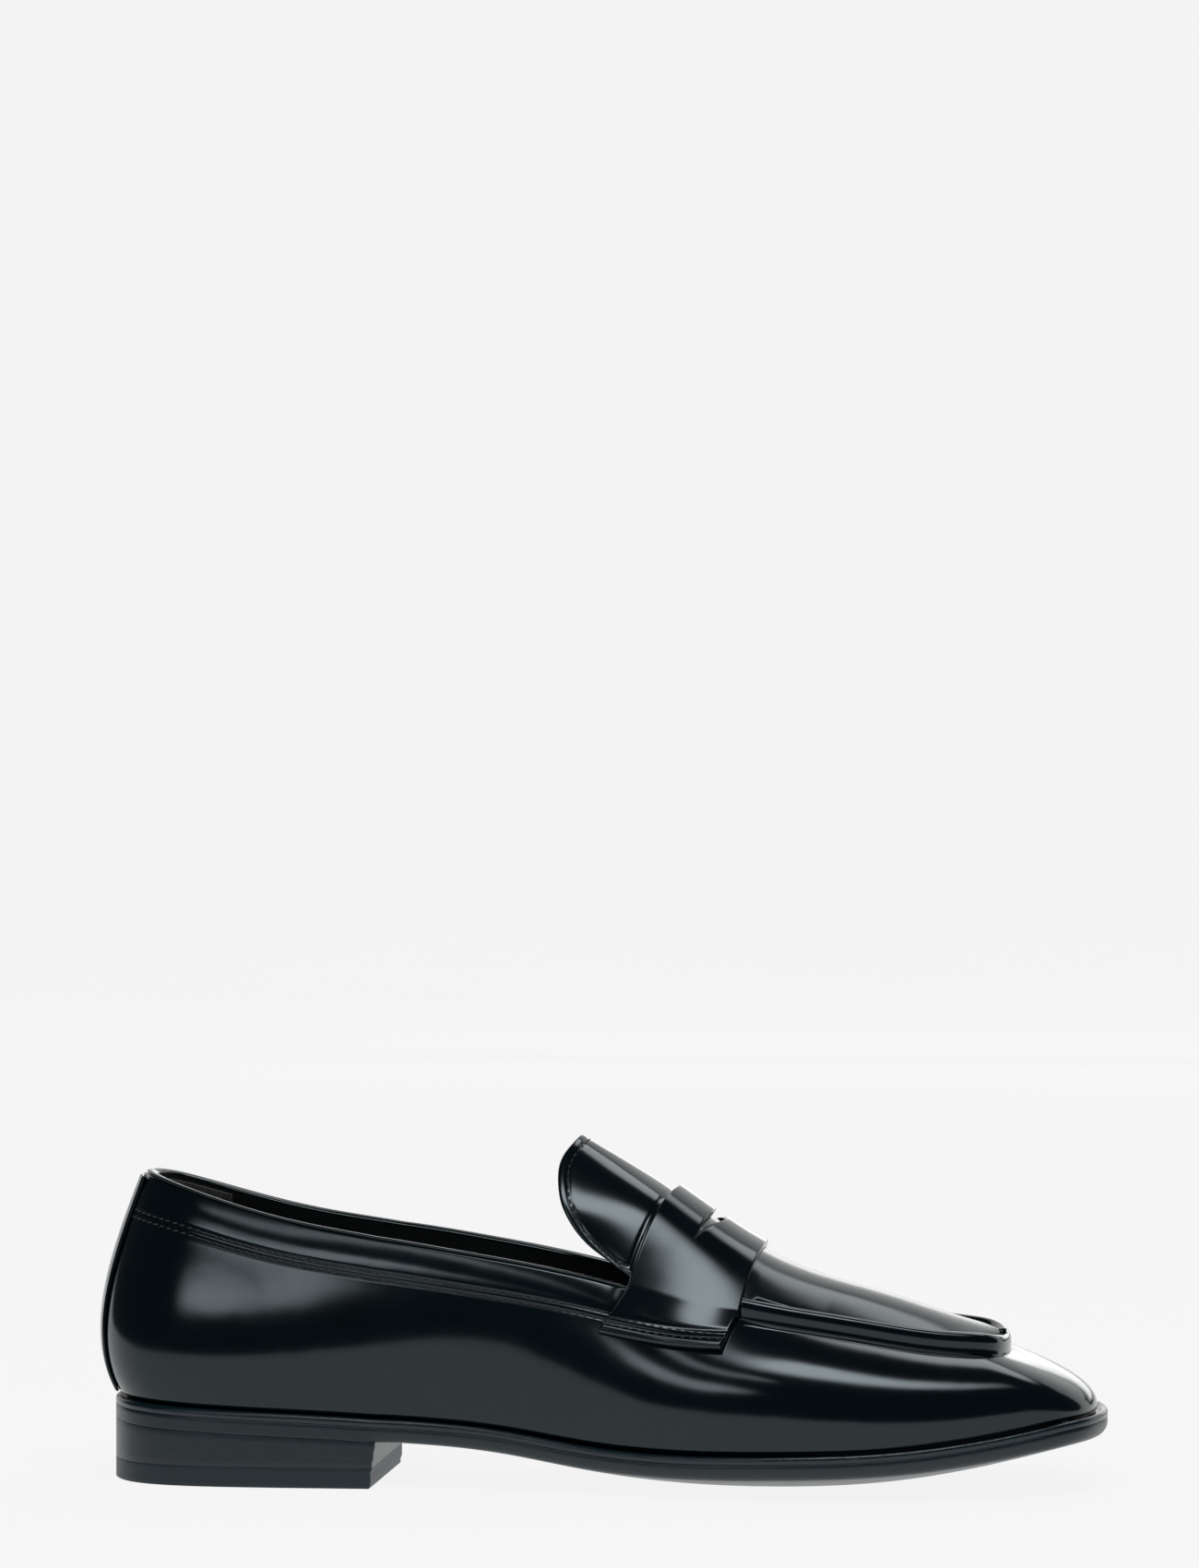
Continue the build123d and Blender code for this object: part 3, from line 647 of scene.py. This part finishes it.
def slot_edges(s):
    """Shares of the strap's width at the rear and front of the coin slot."""
    y = strap_point(np.full_like(s, SLOT_REAR), s)[..., 1]
    share = np.clip(1 - (2 * (y - 0.5) / SLOT_LENGTH) ** 2, 0, 1)
    return np.full_like(s, SLOT_REAR), SLOT_REAR + SLOT_WIDTH / STRAP_WIDTH * share


def strap():
    ss = crowded(-1, 1, 260, 0.012, 8)
    rear, front = slot_edges(ss)
    halves = []
    for low, high in ((np.zeros_like(ss), rear), (front, np.ones_like(ss))):
        shares = crowded(0, 1, 34, 0.06)
        halves.append(low[None] + (high - low)[None] * shares[:, None])
    cs = np.concatenate(halves)
    s = np.broadcast_to(ss, cs.shape)
    middle_depth = STRAP_DEPTH + STRAP_THICKNESS / 2
    middle = inward(strap_point, cs, s, np.full(cs.shape, middle_depth))
    open_here = (front - rear) > 1e-4
    distance = np.concatenate([edge_distance(half) for half in np.split(middle, 2)])
    ends = edge_distance(middle)
    distance = np.where(open_here[None], distance, ends)
    near = np.clip(distance / STRAP_ROLL, 0, 1)
    half = STRAP_THICKNESS / 2 * np.sqrt(np.clip(1 - (1 - near) ** 2, 0, 1))
    run = running_length(middle, 1)
    from_end = np.minimum(run, run[:, -1:] - run)
    bead = 0.35 * np.exp(-((from_end - 1.6) / 1.3) ** 4) - 0.5 * np.exp(-((from_end - 3.7) / 0.7) ** 2)
    bead -= 0.22 * np.exp(-((from_end - 6.0) / 0.7) ** 2)
    outer = inward(strap_point, cs, s, middle_depth - half - bead * (distance > 0.5))
    inner = inward(strap_point, cs, s, middle_depth + half)
    rows, cols = cs.shape
    count = rows * cols
    split = rows // 2
    faces = [face for face in quads(rows, cols) if face[0] // cols != split - 1 or face[1] // cols != split]
    faces += [face for face in quads(rows, cols, count, flip=True)
              if not {(v - count) // cols for v in face} == {split - 1, split}]
    points = np.concatenate([outer.reshape(-1, 3), inner.reshape(-1, 3)])
    made = new_object("upper_strap", points, faces, UPPER)
    weld(made, 0.00002)
    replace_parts(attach(made, "shoe"), "saddle_strap")


def tongue():
    rs = crowded(0, 1, 60, 0.05, 8)
    vs = crowded(-1, 1, 120, 0.02, 8)

    def relief(a, b, distance):
        return 0.12 * np.exp(-((distance - 1.5) / 1.0) ** 2) - 0.3 * np.exp(-((distance - 3.0) / 0.5) ** 2)

    face = leather_sheet("tongue_face", tongue_point, rs, vs, 0, 1.5, UPPER, relief)
    back_rs, back_vs = np.linspace(0.012, 0.98, 40), crowded(-0.99, 0.99, 80, 0.02)
    back = leather_sheet("tongue_back", tongue_point, back_rs, back_vs, 1.4, 0.9, LINING_LEATHER)
    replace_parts(face, "tongue")
    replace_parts(back, "tongue_lining")
    for piece, slot in ((face, "upper"), (back, "lining")):
        bend_tongue(piece)


def topline():
    end = float(strap_t(0.0, SHOULDER)) + 0.06
    ts = np.linspace(-end, end, 420)
    edge = rim_of(ts)
    inside = inward(wall_point, ts, np.ones_like(ts), np.full(ts.shape, LINING_DEPTH + LINING))
    up = unit(rim_of(ts) - wall_point(ts, np.full(ts.shape, 0.97)))
    across = inside - edge
    turns = np.linspace(0, 2 * math.pi, 20, endpoint=False)
    sections = np.stack([edge + across * (0.56 - 0.46 * math.cos(turn))
                         + up * (0.25 + (0.75 if math.sin(turn) > 0 else 0.5) * math.sin(turn))
                         for turn in turns], 1)
    bead = strip("upper_topline", sections, UPPER)
    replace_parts(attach(bead, "shoe"), "topline_binding")


def backstay():
    middle = np.array(0.5)
    one_station = np.linalg.norm(wall_point(np.array(1.0), middle) - wall_point(np.array(0.0), middle))
    half = BACKSTAY_WIDTH / 2 / one_station
    ts, ws = crowded(-half, half, 34, 0.06), crowded(0.03, 0.985, 60, 0.02)
    sheet = leather_sheet("upper_backstay", wall_point, ts, ws, -1.1, 1.05, UPPER)
    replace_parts(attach(sheet, "shoe"), "backstay")


# ---- stitching ----
def stitches(name, points, normals, length, width, sink=0.15, lean=0.0):
    """One thread mesh: a small rounded stitch at each place, half sunk in the leather."""
    rings, sides = 5, 6
    verts, faces = [], []
    along_all = unit(np.gradient(points, axis=0))
    for point, normal, along in zip(points, unit(normals), along_all):
        across = unit(np.cross(normal, along))
        heading = unit(along + lean * across)
        across = unit(np.cross(normal, heading))
        start = len(verts)
        for i in range(rings):
            u = -1 + 2 * i / (rings - 1)
            radius = width / 2 * (math.sqrt(1 - (u * 0.94) ** 4) if abs(u) < 1 else 0.25)
            arch = -sink - 0.5 * width * u * u
            centre = point + heading * u * length / 2 + normal * (arch + width * 0.35)
            for k in range(sides):
                angle = 2 * math.pi * k / sides
                verts.append(centre + across * radius * math.cos(angle)
                             + normal * radius * 0.8 * math.sin(angle))
        for i in range(rings - 1):
            for k in range(sides):
                a, b = start + i * sides + k, start + i * sides + (k + 1) % sides
                faces.append((a, b, b + sides, a + sides))
        faces.append(tuple(start + k for k in range(sides))[::-1])
        faces.append(tuple(start + (rings - 1) * sides + k for k in range(sides)))
    return new_object(name, verts, faces, THREAD)


def evenly(curve, low, high, pitch):
    """Parameters of a curve at equal distances."""
    fine = np.linspace(low, high, 1500)
    points = curve(fine)
    run = running_length(points, 0)
    return np.interp(np.arange(pitch / 2, run[-1], pitch), run, fine)


def normals_of(surface, a, b):
    return surface(a, b) - inward(surface, a, b, np.ones(a.shape))


def collar_stitches():
    end = 6.2
    for which, name in ((0, "collar_thread_upper"), (1, "collar_thread_lower")):
        def curve(t):
            return wall_point(t, down_to(t, collar_row(np.abs(t), which)))
        ts = evenly(curve, -end, end, 2.6)
        ws = down_to(ts, collar_row(np.abs(ts), which))
        row = stitches(name, wall_point(ts, ws), normals_of(wall_point, ts, ws), 2.1, 0.55, lean=0.15)
        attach(row, "shoe")


def ridge_stitches():
    def curve(t):
        return rim_of(t) + down_wall(t) * 1.45 + np.cross(np.cross(UP, outward(t)), down_wall(t)) * 1.25
    ts = evenly(curve, RIDGE_START, AROUND - RIDGE_START, 4.3)
    proud = np.cross(np.cross(UP, outward(ts)), down_wall(ts))
    row = stitches("apron_thread", curve(ts), proud + 0.3 * outward(ts), 2.9, 0.9, sink=0.1, lean=0.2)
    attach(row, "shoe")


def strap_stitches():
    for side in (-1, 1):
        for which, back_off in enumerate((0.055, 0.098)):
            s = side * (1 - back_off)

            def curve(c):
                return inward(strap_point, c, np.full(c.shape, s), np.full(c.shape, STRAP_DEPTH))
            cs = evenly(curve, 0.05, 0.95, 2.6)
            place = np.full(cs.shape, s)
            normal = normals_of(strap_point, cs, place)
            row = stitches(f"strap_thread_{'outer' if side < 0 else 'inner'}_{which + 1}", curve(cs), normal,
                           2.0, 0.6, sink=0.25, lean=0.15)
            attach(row, "shoe")


def tongue_stitches():
    inset, reach = 3.0, 0.93

    def inset_share(v):
        rim, below = tongue_point(np.zeros_like(v), v), tongue_point(np.full_like(v, 0.1), v)
        return np.clip(0.1 * inset / np.linalg.norm(rim - below, axis=-1), 0, 0.8)

    vs = evenly(lambda v: tongue_point(inset_share(v), v), -reach, reach, 2.5)
    rs = inset_share(vs)
    places, normals = tongue_point(rs, vs), normals_of(tongue_point, rs, vs)
    row = stitches("tongue_thread", places, normals, 1.9, 0.5, sink=0.2)
    bend_tongue(row)


# ---- bottom ----
def sole_margin(x):
    share = np.clip((x + 40) / 60, 0, 1)
    return SOLE_MARGIN_HEEL + (SOLE_MARGIN_BALL - SOLE_MARGIN_HEEL) * share * share * (3 - 2 * share)


def outline(t, grow):
    """Plan of the sole's edge, moved out by a distance."""
    xy = feather(t)
    out = outward(t)
    margin = sole_margin(xy[..., 0]) + grow
    return xy[..., 0] + out[..., 0] * margin, xy[..., 1] + out[..., 1] * margin


def bottom_ring(name, profile, finish, node):
    """Closed ring round the sole; the profile is (out, height above the underside)."""
    ts = np.linspace(0, AROUND, 720, endpoint=False)
    rows = []
    for grow, height in profile:
        x, y = outline(ts, grow)
        rows.append(stack(x, y, under_sole(x, y) + height))
    ring = strip(name, np.stack(rows, 1), finish, wrap=True)
    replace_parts(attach(ring, "shoe"), node)


def arc(centre, radius, start, end, count, squash=1.0):
    angles = np.radians(np.linspace(start, end, count))
    return [(centre[0] + radius * math.cos(a) * squash, centre[1] + radius * math.sin(a)) for a in angles]


def welt():
    bead = 1.5
    profile = [(-9, OUTSOLE + 0.02), (-0.12, OUTSOLE + 0.02), (0.02, OUTSOLE + 0.2)]
    profile += arc((-bead + 0.06, BED - bead), bead, 0, 110, 12)
    profile += [(-2.3, BED - 0.75), (-2.7, BED - 0.7), (-3.3, BED - 0.2), (-9, BED - 0.1)]
    bottom_ring("sole_welt", profile, WELT_EDGE, "welt")


def outsole():
    ts = np.linspace(0, AROUND, 720, endpoint=False)
    free_edge = [(-6, OUTSOLE - 0.01), (-0.12, OUTSOLE - 0.01), (0.02, OUTSOLE - 0.2), (0.02, OUTSOLE * 0.7),
                 (-0.05, OUTSOLE * 0.5), (-0.3, 1.3), (-0.8, 0.6), (-1.4, 0.2), (-2.2, 0.02), (-4, 0.0)]
    over_heel = [(-6, OUTSOLE - 0.01), (-0.12, OUTSOLE - 0.01), (0.02, OUTSOLE - 0.2), (0.02, OUTSOLE * 0.7),
                 (0.02, OUTSOLE * 0.5), (0.02, 1.3), (0.02, 0.6), (0.02, 0.3), (-0.1, 0.0), (-4, 0.0)]
    ahead = np.clip((feather(ts)[..., 0] + LENGTH / 2 - HEEL_LENGTH - 2) / 10, 0, 1)
    rings = []
    for (free, height), (bound, bound_height) in zip(free_edge, over_heel):
        grow = bound + (free - bound) * ahead
        height = bound_height + (height - bound_height) * ahead
        x, y = outline(ts, grow)
        rings.append(stack(x, y, under_sole(x, y) + height))
    for share in np.linspace(0.08, 0.96, 12):
        low, high = outline(ts, -4), outline(AROUND - ts, -4)
        x = low[0] * (1 - share / 2) + high[0] * share / 2
        y = low[1] * (1 - share / 2) + high[1] * share / 2
        rings.append(stack(x, y, under_sole(x, y)))
    grid = np.stack(rings, 1)
    rows, cols = grid.shape[:2]
    faces = quads(rows, cols, wrap=True)
    for ring, way in ((cols - 1, 1), (0, -1)):
        for i in range(rows // 2):
            across = [i, i + 1, (rows - i - 1) % rows, (rows - i) % rows]
            corner = tuple(dict.fromkeys([k * cols + ring for k in across][::way]))
            if len(corner) > 2:
                faces.append(corner)
    sole = new_object("sole_outsole", grid.reshape(-1, 3), faces, SOLE_EDGE)
    weld(sole)
    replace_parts(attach(sole, "shoe"), "outsole")


def heel_loop(grow, breast):
    """Plan of the heel: the sole's edge behind the breast, closed by the breast."""
    ts = np.linspace(-6, 6, 900)
    x, y = outline(ts, grow)
    keep = x < breast
    back = np.stack([x[keep], y[keep]], 1)
    front = np.linspace(back[-1], back[0], 42)[1:-1]
    return np.concatenate([back, front])


def resample(loop, count):
    closed = np.concatenate([loop, loop[:1]])
    run = running_length(closed, 0)
    at = np.linspace(0, run[-1], count, endpoint=False)
    return np.stack([np.interp(at, run, closed[:, k]) for k in (0, 1)], 1)


def heel_layer(name, low, high, edge, finish, node):
    """Slab of the heel between two heights with softened edges; the heel block meets the sole."""
    breast = -LENGTH / 2 + HEEL_LENGTH + 4.3
    rings = []
    rounding = [(0, edge), (0.12 * edge, 0.5 * edge), (0.45 * edge, 0.15 * edge), (edge, 0)]
    steps = [(low + rise, inset) for rise, inset in rounding]
    steps += [(low + (high - low) * share, 0) for share in (0.2, 0.4, 0.6, 0.8)]
    steps += [(high - rise, inset) for rise, inset in rounding[::-1]]
    for height, inset in steps:
        loop = resample(heel_loop(-inset, breast - inset - BREAST_SLANT * (1 - height / HEEL_HEIGHT)), 420)
        top = under_sole(loop[:, 0], loop[:, 1]) - 0.02
        share = (height - low) / (high - low)
        z = low + share * (top - low) if node == "heel_block" else np.full(len(loop), height)
        rings.append(stack(loop[:, 0], loop[:, 1], z))
    grid = np.stack(rings, 1)
    rows, cols = grid.shape[:2]
    faces = quads(rows, cols, wrap=True)
    faces += [tuple(i * cols for i in range(rows)), tuple(i * cols + cols - 1 for i in range(rows))[::-1]]
    block = new_object(name, grid.reshape(-1, 3), faces, finish)
    weld(block)
    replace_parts(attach(block, "shoe"), node)


def heel_pad():
    """Crowned foam pad under the heel; flat below, its edge pulled in and rolled."""
    ts = np.linspace(-6, 6, 900)
    plan = feather(ts) - outward(ts)[..., :2] * PAD_INSET
    back = plan[plan[:, 0] < PAD_FRONT]
    front = np.linspace(back[-1], back[0], 42)[1:-1]
    loop = resample(np.concatenate([back, front]), 240)
    for _ in range(60):
        loop = (np.roll(loop, 1, 0) + loop + np.roll(loop, -1, 0)) / 3
    middle = loop.mean(axis=0)
    flat = [(0.02, 0), (0.5, 0), (0.9, 0)]
    rolled = [(0.965, 0.03), (0.99, 0.14), (1, 0.3), (0.995, 0.44), (0.98, 0.57), (0.95, 0.68)]
    crowned = [(0.9, 0.77), (0.82, 0.85), (0.7, 0.92), (0.5, 0.97), (0.25, 0.99), (0.02, 1)]
    rings = []
    for reach, height in flat + rolled + crowned:
        x, y = (middle + (loop - middle) * reach).T
        rings.append(stack(x, y, under_sole(x, y) + PAD_LEVEL + height * HEEL_PAD))
    grid = np.stack(rings, 1)
    rows, cols = grid.shape[:2]
    faces = quads(rows, cols, wrap=True)
    faces += [tuple(i * cols for i in range(rows)), tuple(i * cols + cols - 1 for i in range(rows))[::-1]]
    pad = new_object("foam_heel_pad", grid.reshape(-1, 3), faces, LINING_LEATHER)
    weld(pad)
    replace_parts(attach(pad, "shoe"), "heel_pad")


# ---- studio ----
PAPER = 0.92


def studio():
    """Pale floor that curves up behind into a pale backdrop; both glow a little, so they look even."""
    bend, back, front, side = 2.0, 5.0, -4.0, 6.0
    turns = np.linspace(0, math.pi / 2, 24)
    path = [(y, 0.0) for y in np.linspace(front, back - bend, 40)]
    path += [(back - bend + bend * math.sin(a), bend - bend * math.cos(a)) for a in turns[1:]]
    path += [(back, 6.0)]
    verts = [(x, y, z) for y, z in path for x in np.linspace(-side, side, 12)]
    mesh = bpy.data.meshes.new("studio_sweep")
    mesh.from_pydata(verts, [], quads(len(path), 12, flip=True))
    mesh.shade_smooth()
    sweep = bpy.data.objects.new("studio_sweep", mesh)
    bpy.context.scene.collection.objects.link(sweep)
    made, nodes, links, shader, place = material("studio_paper")
    links.new(ramp(nodes, links, noise(nodes, links, place, 3, 2), [(0.3, grey(0.065)), (0.7, grey(0.075))]),
              shader.inputs["Base Color"])
    shader.inputs["Roughness"].default_value = 0.9
    shader.inputs["Specular IOR Level"].default_value = 0.0
    shader.inputs["Emission Color"].default_value = (1, 1, 1, 1)
    shader.inputs["Emission Strength"].default_value = PAPER - 0.04
    mesh.materials.append(made)


def softbox(name, turn, height, distance, size, glow, feather_edge=0.5):
    """Glowing panel, brightest in its middle; turn is 0 in front and 90 at the toe, height is in degrees."""
    turn, height = math.radians(turn), math.radians(height)
    way = Vector((math.sin(turn) * math.cos(height), -math.cos(turn) * math.cos(height), math.sin(height)))
    half_w, half_h = size[0] / 2, size[1] / 2
    mesh = bpy.data.meshes.new(name)
    mesh.from_pydata([(-half_w, -half_h, 0), (half_w, -half_h, 0), (half_w, half_h, 0), (-half_w, half_h, 0)],
                     [], [(0, 1, 2, 3)])
    panel = bpy.data.objects.new(name, mesh)
    bpy.context.scene.collection.objects.link(panel)
    panel.location = way * distance + Vector((0, 0, 0.05))
    panel.rotation_euler = (-way).to_track_quat("Z", "Y").to_euler()
    panel.visible_camera = False
    made = bpy.data.materials.new(name)
    made.use_nodes = True
    nodes, links = made.node_tree.nodes, made.node_tree.links
    nodes.clear()
    out, light = nodes.new("ShaderNodeOutputMaterial"), nodes.new("ShaderNodeEmission")
    place, stretch = nodes.new("ShaderNodeTexCoord"), nodes.new("ShaderNodeMapping")
    stretch.inputs["Scale"].default_value = (1 / half_w, 1 / half_h, 1)
    fade = nodes.new("ShaderNodeTexGradient")
    fade.gradient_type = "SPHERICAL"
    level = nodes.new("ShaderNodeMapRange")
    level.interpolation_type = "SMOOTHSTEP"
    level.inputs["From Max"].default_value = feather_edge
    level.inputs["To Max"].default_value = glow
    links.new(place.outputs["Object"], stretch.inputs["Vector"])
    links.new(stretch.outputs[0], fade.inputs["Vector"])
    links.new(fade.outputs["Fac"], level.inputs["Value"])
    links.new(level.outputs[0], light.inputs["Strength"])
    links.new(light.outputs[0], out.inputs[0])
    mesh.materials.append(made)


def lights():
    softbox("panel_left", -26, 25, 1.7, (0.9, 0.36), 3.6, 0.6)
    softbox("panel_front_high", 20, 62, 1.6, (1.5, 0.7), 7.5, 0.6)
    softbox("panel_collar", -20, 42, 1.7, (0.9, 0.2), 2.5)
    softbox("panel_back_high", 150, 56, 1.8, (1.3, 0.8), 3.5)
    softbox("panel_behind", 178, 7, 2.2, (2.6, 0.5), 2.2)
    world = bpy.data.worlds.new("studio_world")
    world.use_nodes = True
    world.node_tree.nodes["Background"].inputs[0].default_value = (0.8, 0.9, 1.0, 1)
    world.node_tree.nodes["Background"].inputs[1].default_value = 0.05
    bpy.context.scene.world = world


def camera():
    """Long lens, a little above the ground and turned a little towards the toe."""
    azimuth, elevation, distance = math.radians(6.4), math.radians(7.3), 1.75
    lens, above = 134.0, math.radians(6.79)
    data = bpy.data.cameras.new("camera")
    data.lens = lens
    data.sensor_width = 36
    data.sensor_fit = "AUTO"
    data.clip_start = 0.05
    view = bpy.data.objects.new("camera", data)
    bpy.context.scene.collection.objects.link(view)
    view.location = (distance * math.sin(azimuth) * math.cos(elevation),
                     -distance * math.cos(azimuth) * math.cos(elevation), distance * math.sin(elevation))
    view.rotation_euler = (math.radians(90) - elevation + above, 0, azimuth)
    bpy.context.scene.camera = view


def view_transform():
    scene = bpy.context.scene
    scene.view_settings.view_transform = "Standard"
    scene.view_settings.look = "None"
    scene.view_settings.exposure = 0.0


camera()
dress_cad_nodes()
skirt()
plug()
apron_ridge()
strap()
tongue()
topline()
backstay()
collar_stitches()
ridge_stitches()
strap_stitches()
tongue_stitches()
welt()
outsole()
heel_layer("heel_stack", TOP_PIECE, HEEL_HEIGHT, 0.08, HEEL_EDGE, "heel_block")
heel_layer("heel_rubber_piece", 0, TOP_PIECE, 0.15, RUBBER, "heel_top_piece")
heel_pad()
studio()
lights()
view_transform()
